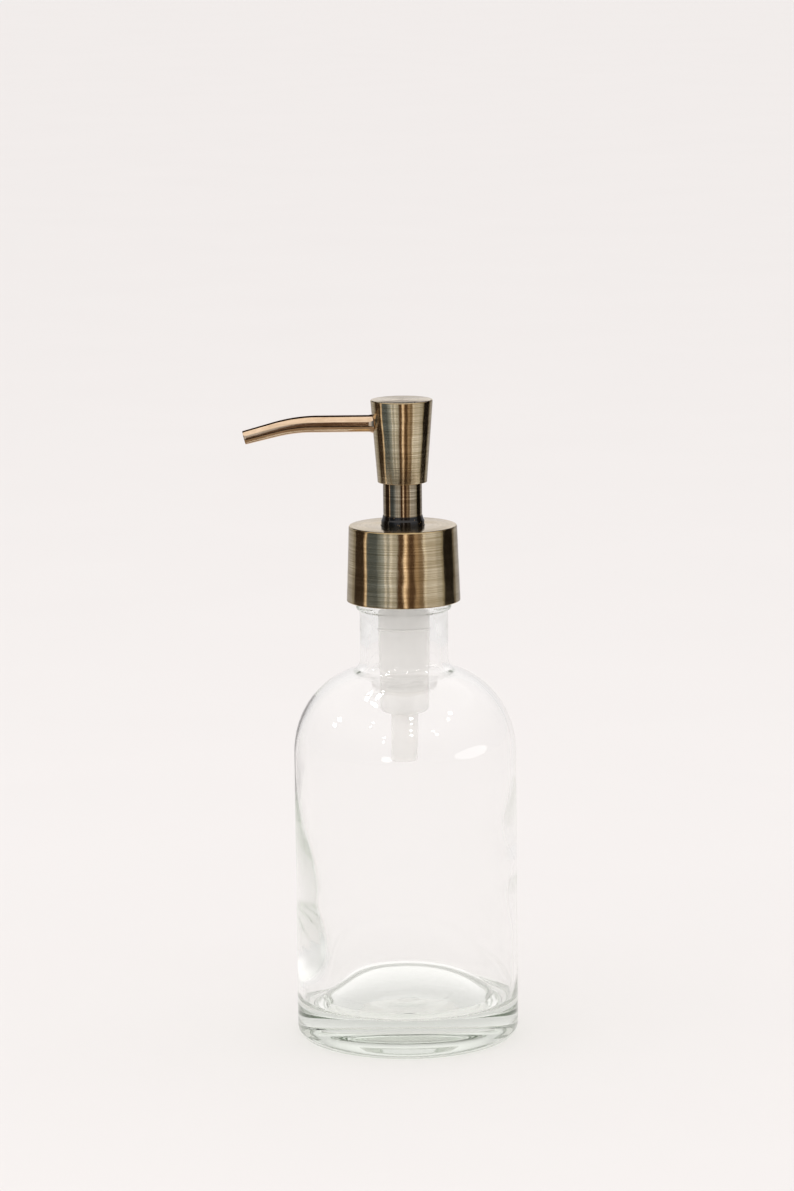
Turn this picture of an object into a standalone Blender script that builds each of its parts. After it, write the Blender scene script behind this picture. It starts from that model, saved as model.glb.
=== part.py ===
"""A pump dispenser: a round glass bottle with a screwed-on lotion pump in aged brass.

Units are metres, +Z up. The origin is on the bottle's axis at the table, and the spout runs along -X.
Run it with: blender --background --python part.py
"""

import math

import bmesh
import bpy
from mathutils import Matrix

MM = 0.001

# Fits
REST_GAP = 0.3 * MM  # between faces that touch on the real thing
RUN_GAP = 0.05 * MM  # round a sliding seal
SLIDE_GAP = 0.3 * MM  # round a sliding rod

# Bottle
BODY_R = 35.2 * MM
BODY_WALL = 2.8 * MM
BODY_TOP = 93.0 * MM  # where the straight wall ends
SHOULDER_IN = 9.2 * MM  # centre of the shoulder's arc, off the axis
HEEL_R = 3.8 * MM
FLOOR = 10.0 * MM
FLOOR_CORNER_R = 6.0 * MM
NECK_LENGTH = 19.5 * MM  # shoulder to bead
NECK_STEP = 1.45 * MM  # neck outside the finish
NECK_FILLET_R = 2.0 * MM
BEAD_STAND = 1.15 * MM
BEAD_HEIGHT = 2.3 * MM
FINISH_HEIGHT = 10.3 * MM  # bead to lip
FINISH_R = 12.5 * MM
LIP_EDGE_R = 0.8 * MM
NECK_CLEAR = 1.6 * MM  # neck's bore round the pump
BORE_FLARE = 1.3 * MM  # where the bore opens into the shoulder

# Thread
PITCH = 4.233 * MM
THREAD_DEPTH = 1.2 * MM
THREAD_ROOT = 2.4 * MM
THREAD_CREST = 1.0 * MM
THREAD_START = 3.0 * MM  # lowest thread centre above the bead
THREAD_TURNS = 1.25
NUT_THREAD_START = 0.25  # turns
NUT_THREAD_TURNS = 1.0
FLANK_GAP = 0.25 * MM
THREAD_SINK = 0.4 * MM  # ridge's foot inside its wall

# Closure
COLLAR_HEIGHT = 23.9 * MM
COLLAR_FLARE = 0.9 * MM  # bottom wider than top
COLLAR_WALL = 0.65 * MM
COLLAR_EDGE_R = 0.5 * MM
COLLAR_LIFT = 0.4 * MM  # collar rim above the bead
INSERT_WALL = 1.5 * MM
INSERT_DECK = 1.5 * MM
INSERT_INSET = 0.6 * MM  # insert's rim above the collar's
INSERT_RIBS = 12
RIB_REACH = 0.93 * MM
RIB_THICK = 1.0 * MM
RIB_END = 0.5 * MM
CROWN_INSET = 2.5 * MM
CROWN_WALL = 1.2 * MM
BUSH_WALL = 0.5 * MM
BUSH_STAND = 1.5 * MM  # bush above the collar
BUSH_FLANGE = 1.6 * MM
BUSH_FLANGE_THICK = 1.0 * MM
BUSH_BEVEL = 0.3 * MM

# Pump housing
CHAMBER_R = 8.0 * MM
CHAMBER_WALL = 1.4 * MM
CHAMBER_LENGTH = 47.4 * MM  # below the flange
STEP_DROP = 33.7 * MM  # below the flange
STEP_DEPTH = 0.25 * MM
RING_DROP = 19.6 * MM  # below the flange
RING_STAND = 0.3 * MM
FLANGE_INSET = 0.2 * MM  # flange inside the finish
FLANGE_THICK = 1.2 * MM
GASKET_THICK = 1.2 * MM
STUB_WALL = 1.1 * MM
STUB_LENGTH = 15.7 * MM
SOCKET_R = 3.2 * MM
SOCKET_DEPTH = 13.2 * MM
SEAT_THICK = 1.2 * MM
BALL_R = 2.4 * MM
BALL_LIFT = 1.5 * MM
BALL_SPACE = 0.6 * MM
SEAT_SHARE = 0.75  # seat's radius to the ball's
POCKET_HEIGHT = 4.0 * MM
LEDGE_SLOPE = 0.7  # rise to run of the cone above the pocket
CAGE_THICK = 1.3 * MM
CAGE_PIN_R = 1.2 * MM
CAGE_BOSS = 2.0 * MM
CAGE_HOLES = 6
CAGE_HOLE_R = 0.7 * MM

# Piston
STROKE = 11.5 * MM
ROD_R = 3.7 * MM
ROD_BORE_R = 1.75 * MM
SEAL_HEIGHT = 8.0 * MM
SEAL_WAIST = 1.15 * MM  # waist inside the lips
SEAL_LIP = 1.4 * MM
PLUG_CLEAR = 1.1 * MM
PLUG_FLANGE = 1.3 * MM
PLUG_SHANK = 5.0 * MM
PLUG_BORE_R = 0.8 * MM
SPRING_WIRE_R = 0.35 * MM
SPRING_CLEAR = 1.45 * MM  # spring inside the chamber
SPRING_COILS = 7.5
BOSS_CLEAR = 1.25 * MM  # spring round the cage's boss
OUTLET_OVER = 0.35 * MM  # outlet ball over the rod's bore
OUTLET_SPACE = 0.4 * MM
OUTLET_SEAT_DEPTH = 4.0 * MM  # seat below the rod's top

# Stem guide
CHAPLET_PLUG = 5.0 * MM  # chaplet inside the chamber
CHIMNEY_WALL = 1.35 * MM
WIPER = 2.0 * MM
WIPER_LIP = 0.7 * MM
WIPER_CLEAR = 1.3 * MM  # wiper below the pressed head's boss
SLEEVE_WALL = 0.5 * MM
SLEEVE_HIDDEN = 2.3 * MM  # sleeve inside the head at rest

# Head
HEAD_CLEAR = 0.7 * MM  # pressed head above the bush
HEAD_ROOM = 1.65 * MM  # head's outside round the sleeve, at the rim
HEAD_FLARE = 2.03 * MM
HEAD_WALL = 0.55 * MM
CAP_THICK = 0.8 * MM
CAP_SET = 0.15 * MM  # cap below the rim
CAP_SPACE = 0.75 * MM
CORE_CLEAR = 1.1 * MM  # pressed core above the sleeve
CORE_UNDER = 0.8 * MM  # core below the spout's socket
CORE_OVER = 3.1 * MM  # core above the spout
CORE_BOSS = 4.0 * MM
BOSS_GAP = 0.4 * MM  # core's boss inside the sleeve
PASSAGE_R = 1.2 * MM
CROSS_PASSAGE_R = 1.08 * MM
SLOT_WIDTH = 0.8 * MM
SLOT_LENGTH = 4.8 * MM
SPOUT_R = 2.6 * MM
SPOUT_DRAW = 0.5 * MM  # tip thinner than the root
SPOUT_TIP_WALL = 0.5 * MM
SPOUT_REACH = 49.5 * MM
SPOUT_BEND_START = 27.2 * MM
SPOUT_BEND_R = 50.0 * MM
SPOUT_BEND = math.radians(14.5)
SPOUT_STOP = 2.2 * MM  # spout's inner end off the rod's socket
LINER_WALL = 0.45 * MM

# Mesh fineness
BOTTLE_SIDES = 48
COLLAR_SIDES = 48
HEAD_SIDES = 40
SMALL_SIDES = 28
THREAD_STEPS = 40  # to a turn
SPRING_STEPS = 16  # to a turn
EDGE_ANGLE = math.radians(32)

# Radii that follow from the sizes
SHOULDER_R = BODY_R - SHOULDER_IN
NECK_R = FINISH_R + NECK_STEP
BEAD_R = NECK_R + BEAD_STAND
BORE_R = CHAMBER_R + NECK_CLEAR
LIP_ROUND = min(LIP_EDGE_R, 0.4 * (FINISH_R - BORE_R))
CHAMBER_BORE_R = CHAMBER_R - CHAMBER_WALL
FLANGE_R = FINISH_R - FLANGE_INSET
INSERT_BORE_R = FINISH_R + THREAD_DEPTH + REST_GAP
INSERT_R = INSERT_BORE_R + INSERT_WALL
CROWN_R = INSERT_R - CROWN_INSET
COLLAR_TOP_R = INSERT_R + RIB_REACH + COLLAR_WALL
COLLAR_BOTTOM_R = COLLAR_TOP_R + COLLAR_FLARE
GUIDE_BORE_R = ROD_R + SLIDE_GAP
SLEEVE_BORE_R = GUIDE_BORE_R + CHIMNEY_WALL + REST_GAP
SLEEVE_R = SLEEVE_BORE_R + SLEEVE_WALL
BUSH_BORE_R = SLEEVE_R + RUN_GAP + REST_GAP / 3
BUSH_R = BUSH_BORE_R + BUSH_WALL
COLLAR_HOLE_R = BUSH_R + REST_GAP / 2
STUB_R = SOCKET_R + STUB_WALL
SEAT_R = BALL_R * SEAT_SHARE
POCKET_R = BALL_R + BALL_SPACE
PLUG_FLANGE_R = CHAMBER_BORE_R - PLUG_CLEAR
SPRING_R = CHAMBER_BORE_R - SPRING_CLEAR - SPRING_WIRE_R
CAGE_BOSS_R = SPRING_R - SPRING_WIRE_R - BOSS_CLEAR
OUTLET_BALL_R = ROD_BORE_R + OUTLET_OVER
OUTLET_POCKET_R = OUTLET_BALL_R + OUTLET_SPACE
HEAD_BOTTOM_R = SLEEVE_R + HEAD_ROOM
HEAD_TOP_R = HEAD_BOTTOM_R + HEAD_FLARE
CORE_BOSS_R = SLEEVE_BORE_R - BOSS_GAP
SPOUT_TIP_R = SPOUT_R - SPOUT_DRAW
SPOUT_BORE_R = SPOUT_TIP_R - SPOUT_TIP_WALL
LINER_R = SPOUT_BORE_R - REST_GAP
LINER_BORE_R = LINER_R - LINER_WALL
SPOUT_INNER_END = GUIDE_BORE_R + SPOUT_STOP

# Levels that follow from the sizes
SHOULDER_MEET = math.acos((NECK_R + 0.4 * NECK_FILLET_R - SHOULDER_IN) / SHOULDER_R)
BEAD_BOTTOM = BODY_TOP + SHOULDER_R * math.sin(SHOULDER_MEET) + NECK_LENGTH
BEAD_TOP = BEAD_BOTTOM + BEAD_HEIGHT
LIP_Z = BEAD_TOP + FINISH_HEIGHT
COLLAR_BOTTOM = BEAD_TOP + COLLAR_LIFT
COLLAR_TOP = COLLAR_BOTTOM + COLLAR_HEIGHT
COLLAR_CEILING = COLLAR_TOP - COLLAR_WALL
BUSH_TOP = COLLAR_TOP + BUSH_STAND
GASKET_Z = LIP_Z + REST_GAP
FLANGE_Z = GASKET_Z + GASKET_THICK + REST_GAP
CHAMBER_BOTTOM = FLANGE_Z - CHAMBER_LENGTH
CHAMBER_STEP = FLANGE_Z - STEP_DROP
RING_Z = FLANGE_Z - RING_DROP
CHAPLET_Z = FLANGE_Z + FLANGE_THICK + REST_GAP
CHAPLET_TOP = CHAPLET_Z + FLANGE_THICK
CHAPLET_FOOT = CHAPLET_Z - CHAPLET_PLUG
DECK_Z = CHAPLET_TOP + REST_GAP
SLEEVE_Z = CHAPLET_TOP + REST_GAP
SOCKET_Z = CHAMBER_BOTTOM - STUB_LENGTH
SOCKET_TOP = SOCKET_Z + SOCKET_DEPTH
SEAT_Z = SOCKET_TOP + SEAT_THICK
BALL_Z = SEAT_Z + math.sqrt(BALL_R**2 - SEAT_R**2) + REST_GAP
PIN_Z = BALL_Z + BALL_R + BALL_LIFT + REST_GAP
POCKET_TOP = SEAT_Z + (POCKET_R - SEAT_R) + POCKET_HEIGHT
LEDGE_Z = POCKET_TOP + (CHAMBER_BORE_R - POCKET_R) * LEDGE_SLOPE
CAGE_Z = LEDGE_Z + REST_GAP
CAGE_TOP = CAGE_Z + CAGE_THICK
SEAL_TOP = CHAPLET_FOOT - REST_GAP
SEAL_Z = SEAL_TOP - SEAL_HEIGHT
PLUG_TOP = SEAL_Z - REST_GAP
PLUG_Z = PLUG_TOP - PLUG_FLANGE
HEAD_BOTTOM = BUSH_TOP + STROKE + HEAD_CLEAR
SLEEVE_TOP = HEAD_BOTTOM + SLEEVE_HIDDEN
CORE_Z = SLEEVE_TOP + STROKE + CORE_CLEAR
SPOUT_Z = CORE_Z + CORE_UNDER + REST_GAP + SPOUT_R
CORE_TOP = SPOUT_Z + SPOUT_R + CORE_OVER
HEAD_TOP = CORE_TOP + CAP_SPACE + CAP_THICK + CAP_SET
WIPER_TOP = CORE_Z - CORE_BOSS - STROKE - WIPER_CLEAR
CHIMNEY_TOP = WIPER_TOP - WIPER - REST_GAP
ROD_TOP = SPOUT_Z - PASSAGE_R - REST_GAP * 2
CORE_SOCKET_TOP = ROD_TOP + REST_GAP
OUTLET_SEAT_Z = ROD_TOP - OUTLET_SEAT_DEPTH
OUTLET_BALL_Z = OUTLET_SEAT_Z + math.sqrt(OUTLET_BALL_R**2 - ROD_BORE_R**2) + REST_GAP


# ---------------------------------------------------------------- shaping


def arc(centre, radius, start, end, pieces=6):
    """Points on a round stretch of a profile, its angles in degrees from +X."""
    turn = [math.radians(start + (end - start) * i / pieces) for i in range(pieces + 1)]
    return [(centre[0] + radius * math.cos(a), centre[1] + radius * math.sin(a)) for a in turn]


def settled(obj):
    """Works the modifiers into the mesh and shades it smooth between its edges."""
    bpy.context.view_layer.update()
    graph = bpy.context.evaluated_depsgraph_get()
    mesh = bpy.data.meshes.new_from_object(obj.evaluated_get(graph))
    obj.modifiers.clear()
    obj.data = mesh
    mesh.name = obj.name
    mesh.shade_smooth()
    mesh.set_sharp_from_angle(angle=EDGE_ANGLE)
    return obj


def turned(name, profile, slot, sides=SMALL_SIDES, folder=None):
    """A profile of (radius, z), run down its outer side, turned round Z."""
    mesh = bpy.data.meshes.new(name)
    on_axis = profile[0][0] == 0
    edges = [(i, i + 1) for i in range(len(profile) - 1)]
    if not on_axis:
        edges.append((len(profile) - 1, 0))
    mesh.from_pydata([(r, 0, z) for r, z in profile], edges, [])
    obj = bpy.data.objects.new(name, mesh)
    (folder or parts).objects.link(obj)
    mesh.materials.append(slot)
    screw = obj.modifiers.new("turn", "SCREW")
    screw.steps = screw.render_steps = sides
    screw.use_merge_vertices = True
    screw.merge_threshold = 0.00001
    return settled(obj)


def ring(name, inner, outer, low, high, slot, sides=SMALL_SIDES):
    """A plain turned ring or tube."""
    return turned(name, [(outer, high), (outer, low), (inner, low), (inner, high)], slot, sides)


def combined(obj, tool, operation):
    """Joins the tool to the object or cuts it away, and removes the tool."""
    boolean = obj.modifiers.new(operation.lower(), "BOOLEAN")
    boolean.operation = operation
    boolean.solver = "EXACT"
    boolean.object = tool
    settled(obj)
    bpy.data.objects.remove(tool)
    return obj


def rod(name, radius, start, end, sides=SMALL_SIDES):
    """A round bar between two points, as a tool for a Boolean."""
    mesh = bpy.data.meshes.new(name)
    run = (end[0] - start[0], end[1] - start[1], end[2] - start[2])
    length = math.dist(start, end)
    turn = Matrix.Translation([(a + b) / 2 for a, b in zip(start, end)])
    if abs(run[0]) > abs(run[2]):
        turn = turn @ Matrix.Rotation(math.pi / 2, 4, "Y")
    bm = bmesh.new()
    bmesh.ops.create_cone(
        bm, cap_ends=True, segments=sides, radius1=radius, radius2=radius, depth=length, matrix=turn
    )
    bm.to_mesh(mesh)
    bm.free()
    obj = bpy.data.objects.new(name, mesh)
    tools.objects.link(obj)
    return obj


def block(name, size, centre, angle=0.0):
    """A box turned about Z after it is placed, as a tool for a Boolean."""
    mesh = bpy.data.meshes.new(name)
    bm = bmesh.new()
    bmesh.ops.create_cube(bm, size=1, matrix=Matrix.Rotation(angle, 4, "Z") @ Matrix.Translation(centre)
                          @ Matrix.Diagonal((*size, 1)))
    bm.to_mesh(mesh)
    bm.free()
    obj = bpy.data.objects.new(name, mesh)
    tools.objects.link(obj)
    return obj


def thread(name, root_r, crest_r, middle_z, first_turn, turns):
    """A right-hand ridge swept up a helix, sunk a little into the wall that carries it."""
    outward = 1 if crest_r > root_r else -1
    steps = round(turns * THREAD_STEPS)
    start = first_turn * 2 * math.pi
    low = middle_z + first_turn * PITCH
    half_crest = THREAD_CREST / 2
    flank = (THREAD_ROOT - THREAD_CREST) / 2 / THREAD_DEPTH
    foot = root_r - outward * THREAD_SINK
    half_foot = THREAD_ROOT / 2 + flank * THREAD_SINK
    section = [(foot, -half_foot), (crest_r, -half_crest), (crest_r, half_crest), (foot, half_foot)]
    bm = bmesh.new()
    points = [bm.verts.new((r * math.cos(start), r * math.sin(start), low + z)) for r, z in section]
    face = bm.faces.new(points)
    bmesh.ops.spin(
        bm, geom=[face], cent=(0, 0, 0), axis=(0, 0, 1), dvec=(0, 0, turns * PITCH / steps),
        angle=turns * 2 * math.pi, steps=steps,
    )
    open_edges = [edge for edge in bm.edges if edge.is_boundary]
    bmesh.ops.holes_fill(bm, edges=open_edges)
    bmesh.ops.recalc_face_normals(bm, faces=bm.faces)
    mesh = bpy.data.meshes.new(name)
    bm.to_mesh(mesh)
    bm.free()
    obj = bpy.data.objects.new(name, mesh)
    tools.objects.link(obj)
    return obj


def tube(name, path, radii, slot=None):
    """A round bar along a path, its radius given at each point, as a closed mesh."""
    curve = bpy.data.curves.new(name, "CURVE")
    curve.dimensions = "3D"
    curve.bevel_depth = 1.0
    curve.bevel_resolution = 5
    curve.use_fill_caps = True
    spline = curve.splines.new("POLY")
    spline.points.add(len(path) - 1)
    for point, place, radius in zip(spline.points, path, radii):
        point.co = (*place, 1)
        point.radius = radius
    guide = bpy.data.objects.new(name + "_path", curve)
    tools.objects.link(guide)
    bpy.context.view_layer.update()
    graph = bpy.context.evaluated_depsgraph_get()
    mesh = bpy.data.meshes.new_from_object(guide.evaluated_get(graph))
    bm = bmesh.new()
    bm.from_mesh(mesh)
    bmesh.ops.remove_doubles(bm, verts=bm.verts, dist=0.00001)
    bmesh.ops.recalc_face_normals(bm, faces=bm.faces)
    bm.to_mesh(mesh)
    bm.free()
    mesh.name = name
    bpy.data.objects.remove(guide)
    obj = bpy.data.objects.new(name, mesh)
    (parts if slot else tools).objects.link(obj)
    if slot:
        mesh.materials.append(slot)
    mesh.shade_smooth()
    mesh.set_sharp_from_angle(angle=EDGE_ANGLE)
    return obj


def finish(name, colour, roughness, metallic=0.0, alpha=1.0):
    """A plain material with one colour."""
    material = bpy.data.materials.new(name)
    material.use_nodes = True
    shader = material.node_tree.nodes["Principled BSDF"]
    shader.inputs["Base Color"].default_value = (*colour, 1)
    shader.inputs["Roughness"].default_value = roughness
    shader.inputs["Metallic"].default_value = metallic
    shader.inputs["Alpha"].default_value = alpha
    return material


# ---------------------------------------------------------------- bottle


def make_bottle():
    """Blown glass: thick flat base, straight wall, domed shoulder, short neck with a bead and a thread."""
    centre = (SHOULDER_IN, BODY_TOP)
    meet = math.degrees(SHOULDER_MEET)
    meet_r, meet_z = arc(centre, SHOULDER_R, meet, meet, 1)[0]
    bead_r = BEAD_HEIGHT / 2
    outer = arc((FINISH_R - LIP_ROUND, LIP_Z - LIP_ROUND), LIP_ROUND, 90, 0, 3)
    outer += [(FINISH_R, BEAD_TOP + REST_GAP), (BEAD_R - bead_r, BEAD_TOP)]
    outer += arc((BEAD_R - bead_r, BEAD_TOP - bead_r), bead_r, 75, -75, 4)
    outer += [(NECK_R, BEAD_BOTTOM - REST_GAP), (NECK_R, meet_z + NECK_FILLET_R)]
    outer += [(NECK_R + NECK_FILLET_R * 0.12, meet_z + NECK_FILLET_R * 0.35), (meet_r, meet_z)]
    outer += arc(centre, SHOULDER_R, meet - 6, 0, 9)
    outer += arc((BODY_R - HEEL_R, HEEL_R), HEEL_R, 0, -90, 5)
    inner_r = BODY_R - BODY_WALL
    inner_arc_r = inner_r - SHOULDER_IN
    floor = arc((inner_r - FLOOR_CORNER_R, FLOOR + FLOOR_CORNER_R), FLOOR_CORNER_R, -90, 0, 5)
    top = math.degrees(math.acos((BORE_R + BORE_FLARE - SHOULDER_IN) / inner_arc_r))
    ceiling = arc(centre, inner_arc_r, 0, top, 8)
    bore = [(BORE_R, ceiling[-1][1] + BORE_FLARE), (BORE_R, LIP_Z - LIP_ROUND)]
    lip = arc((BORE_R + LIP_ROUND, LIP_Z - LIP_ROUND), LIP_ROUND, 180, 90, 3)[1:]
    # The inside is its own solid, so that the base stays one flat face.
    shell = turned("glass_bottle", [(0, LIP_Z), *outer, (0, 0)], glass, BOTTLE_SIDES)
    above = LIP_Z + 5 * MM
    mouth = [(0, above), (lip[-1][0], above), *reversed(lip), *reversed(bore)]
    space = [*mouth, *reversed(ceiling), *reversed(floor), (0, FLOOR)]
    combined(shell, turned("bottle_space", space, glass, BOTTLE_SIDES, tools), "DIFFERENCE")
    ridge = thread("neck_thread", FINISH_R, FINISH_R + THREAD_DEPTH, BEAD_TOP + THREAD_START,
                   0, THREAD_TURNS)
    return combined(shell, ridge, "UNION")


# ---------------------------------------------------------------- closure


def collar_radius(z):
    """Outer radius of the collar at a height."""
    return COLLAR_BOTTOM_R - COLLAR_FLARE * (z - COLLAR_BOTTOM) / COLLAR_HEIGHT


def make_closure_shell():
    """Drawn brass cup with a hole for the stem guide."""
    profile = [(COLLAR_HOLE_R, COLLAR_TOP)]
    profile += arc((COLLAR_TOP_R - COLLAR_EDGE_R, COLLAR_TOP - COLLAR_EDGE_R), COLLAR_EDGE_R, 90, 2, 3)
    profile += [(COLLAR_BOTTOM_R, COLLAR_BOTTOM), (COLLAR_BOTTOM_R - COLLAR_WALL, COLLAR_BOTTOM)]
    profile += [(collar_radius(COLLAR_CEILING) - COLLAR_WALL, COLLAR_CEILING)]
    profile += [(COLLAR_HOLE_R, COLLAR_CEILING)]
    return turned("closure_shell", profile, brass, COLLAR_SIDES)


def make_closure_insert():
    """Moulded cap that carries the thread, a deck that clamps the pump, and ribs that hold the shell."""
    bottom = COLLAR_BOTTOM + INSERT_INSET
    deck_top = DECK_Z + INSERT_DECK
    crown_top = COLLAR_CEILING - REST_GAP
    crown_bore_r = CROWN_R - CROWN_WALL
    hole = BUSH_R + BUSH_FLANGE + REST_GAP
    profile = [(CROWN_R, crown_top), (CROWN_R, deck_top), (INSERT_R, deck_top), (INSERT_R, bottom)]
    profile += [(INSERT_BORE_R, bottom), (INSERT_BORE_R, DECK_Z), (hole, DECK_Z), (hole, deck_top)]
    profile += [(crown_bore_r, deck_top), (crown_bore_r, crown_top)]
    obj = turned("closure_insert", profile, white_plastic, COLLAR_SIDES)
    rib_top = deck_top - RIB_END
    rib_bottom = bottom + RIB_END
    reach = collar_radius(rib_top) - COLLAR_WALL - REST_GAP
    start = INSERT_R - INSERT_WALL / 3
    for i in range(INSERT_RIBS):
        size = (reach - start, RIB_THICK, rib_top - rib_bottom)
        centre = ((reach + start) / 2, 0, (rib_top + rib_bottom) / 2)
        combined(obj, block("rib", size, centre, 2 * math.pi * i / INSERT_RIBS), "UNION")
    # The nut's ridge lies under the neck's, a flank's clearance apart.
    drop = (THREAD_ROOT + THREAD_CREST) / 2 + FLANK_GAP
    ridge = thread("nut_thread", INSERT_BORE_R, INSERT_BORE_R - THREAD_DEPTH,
                   BEAD_TOP + THREAD_START - drop, NUT_THREAD_START, NUT_THREAD_TURNS)
    return combined(obj, ridge, "UNION")


def make_collar_bush():
    """Dark bush that fills the collar's hole round the stem guide."""
    under = COLLAR_CEILING - REST_GAP
    flange_r = BUSH_R + BUSH_FLANGE
    profile = [(BUSH_BORE_R, BUSH_TOP), (BUSH_R - BUSH_BEVEL, BUSH_TOP), (BUSH_R, BUSH_TOP - BUSH_BEVEL)]
    profile += [(BUSH_R, under), (flange_r, under), (flange_r, under - BUSH_FLANGE_THICK)]
    profile += [(BUSH_BORE_R, under - BUSH_FLANGE_THICK)]
    return turned("collar_bush", profile, dark_plastic, HEAD_SIDES)


# ---------------------------------------------------------------- pump body


def make_pump_housing():
    """Moulded cylinder that hangs in the neck, with a ball seat and a socket for a suction tube."""
    lower_r = CHAMBER_R - STEP_DEPTH
    profile = [(FLANGE_R, FLANGE_Z + FLANGE_THICK), (FLANGE_R, FLANGE_Z), (CHAMBER_R, FLANGE_Z)]
    profile += [(CHAMBER_R, RING_Z + RING_STAND), (CHAMBER_R + RING_STAND, RING_Z)]
    profile += [(CHAMBER_R, RING_Z - RING_STAND), (CHAMBER_R, CHAMBER_STEP)]
    profile += [(lower_r, CHAMBER_STEP - STEP_DEPTH)]
    profile += arc((lower_r - 1 * MM, CHAMBER_BOTTOM + 1 * MM), 1 * MM, 0, -90, 3)
    profile += [(STUB_R, CHAMBER_BOTTOM), (STUB_R, SOCKET_Z), (SOCKET_R, SOCKET_Z)]
    profile += [(SOCKET_R, SOCKET_TOP), (SEAT_R, SOCKET_TOP), (SEAT_R, SEAT_Z)]
    profile += [(POCKET_R, SEAT_Z + (POCKET_R - SEAT_R)), (POCKET_R, POCKET_TOP)]
    profile += [(CHAMBER_BORE_R, LEDGE_Z), (CHAMBER_BORE_R, FLANGE_Z + FLANGE_THICK)]
    return turned("pump_housing", profile, milky_plastic, SMALL_SIDES)


def make_ball_cage():
    """Perforated disc that stops the inlet ball and seats the spring."""
    disc_r = CHAMBER_BORE_R - REST_GAP
    boss_top = CAGE_TOP + CAGE_BOSS
    chamfer = CAGE_BOSS / 5
    profile = [(0, boss_top), (CAGE_BOSS_R - chamfer, boss_top), (CAGE_BOSS_R, boss_top - chamfer)]
    profile += [(CAGE_BOSS_R, CAGE_TOP), (disc_r, CAGE_TOP)]
    profile += [(disc_r, CAGE_Z), (CAGE_PIN_R, CAGE_Z), (CAGE_PIN_R, PIN_Z), (0, PIN_Z)]
    obj = turned("ball_cage", profile, white_plastic, SMALL_SIDES)
    ring_r = (CAGE_PIN_R + CAGE_BOSS_R) / 2
    for i in range(CAGE_HOLES):
        angle = 2 * math.pi * i / CAGE_HOLES
        x, y = ring_r * math.cos(angle), ring_r * math.sin(angle)
        hole = rod("hole", CAGE_HOLE_R, (x, y, PIN_Z - MM), (x, y, boss_top + MM), 12)
        combined(obj, hole, "DIFFERENCE")
    return obj


def make_chaplet():
    """Guide cap snapped on the housing: a plug in the chamber, a flange and a chimney round the rod."""
    plug_r = CHAMBER_BORE_R - REST_GAP
    chimney_r = SLEEVE_BORE_R - REST_GAP
    rim_r = FLANGE_R - REST_GAP
    profile = [(chimney_r, CHIMNEY_TOP), (chimney_r, CHAPLET_TOP), (rim_r, CHAPLET_TOP)]
    profile += [(rim_r, CHAPLET_Z), (plug_r, CHAPLET_Z), (plug_r, CHAPLET_FOOT)]
    profile += [(GUIDE_BORE_R, CHAPLET_FOOT), (GUIDE_BORE_R, CHIMNEY_TOP)]
    return turned("chaplet", profile, white_plastic, SMALL_SIDES)


def make_stem_wiper():
    """Soft ring above the chimney that wipes the rod."""
    low = WIPER_TOP - WIPER
    outer = SLEEVE_BORE_R - REST_GAP
    inner = ROD_R + RUN_GAP
    profile = [(outer, WIPER_TOP), (outer, low), (inner + WIPER_LIP, low), (inner, (low + WIPER_TOP) / 2)]
    profile += [(inner + WIPER_LIP, WIPER_TOP)]
    return turned("stem_wiper", profile, rubber, SMALL_SIDES)


def make_spring():
    """Compression spring between the cage and the piston, its ends closed."""
    low = CAGE_TOP + REST_GAP + SPRING_WIRE_R
    high = PLUG_Z - REST_GAP - SPRING_WIRE_R
    closed = 1.0  # turns at each end that lie on one another
    climb = 2.1 * SPRING_WIRE_R
    count = round(SPRING_COILS * SPRING_STEPS)
    path = []
    for i in range(count + 1):
        turns = SPRING_COILS * i / count
        share = min(max((turns - closed) / (SPRING_COILS - 2 * closed), 0), 1)
        ends = min(turns, closed) + max(turns - (SPRING_COILS - closed), 0)
        z = low + climb * ends + (high - low - 2 * climb * closed) * share
        angle = 2 * math.pi * turns
        path.append((SPRING_R * math.cos(angle), SPRING_R * math.sin(angle), z))
    curve = bpy.data.curves.new("return_spring", "CURVE")
    curve.dimensions = "3D"
    curve.bevel_depth = SPRING_WIRE_R
    curve.bevel_resolution = 1
    curve.use_fill_caps = True
    curve.materials.append(steel)
    spline = curve.splines.new("POLY")
    spline.points.add(len(path) - 1)
    for point, place in zip(spline.points, path):
        point.co = (*place, 1)
    obj = bpy.data.objects.new("return_spring", curve)
    parts.objects.link(obj)
    return obj


def make_ball(name, radius, z):
    """Stainless valve ball."""
    mesh = bpy.data.meshes.new(name)
    bm = bmesh.new()
    bmesh.ops.create_uvsphere(bm, u_segments=20, v_segments=12, radius=radius)
    bm.to_mesh(mesh)
    bm.free()
    mesh.shade_smooth()
    mesh.materials.append(steel)
    obj = bpy.data.objects.new(name, mesh)
    obj.location = (0, 0, z)
    parts.objects.link(obj)
    return obj


# ---------------------------------------------------------------- piston


def make_piston_seal():
    """Two-lipped seal that slides in the chamber."""
    lip_r = CHAMBER_BORE_R - RUN_GAP
    waist_r = lip_r - SEAL_WAIST
    bore = ROD_R + REST_GAP
    edge = SEAL_LIP / 4
    profile = [(bore, SEAL_TOP), (lip_r - edge, SEAL_TOP), (lip_r, SEAL_TOP - edge)]
    profile += [(lip_r, SEAL_TOP - SEAL_LIP), (waist_r, SEAL_TOP - 2 * SEAL_LIP)]
    profile += [(waist_r, SEAL_Z + 2 * SEAL_LIP), (lip_r, SEAL_Z + SEAL_LIP)]
    profile += [(lip_r, SEAL_Z + edge), (lip_r - edge, SEAL_Z), (bore, SEAL_Z)]
    return turned("piston_seal", profile, soft_plastic, SMALL_SIDES)


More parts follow.
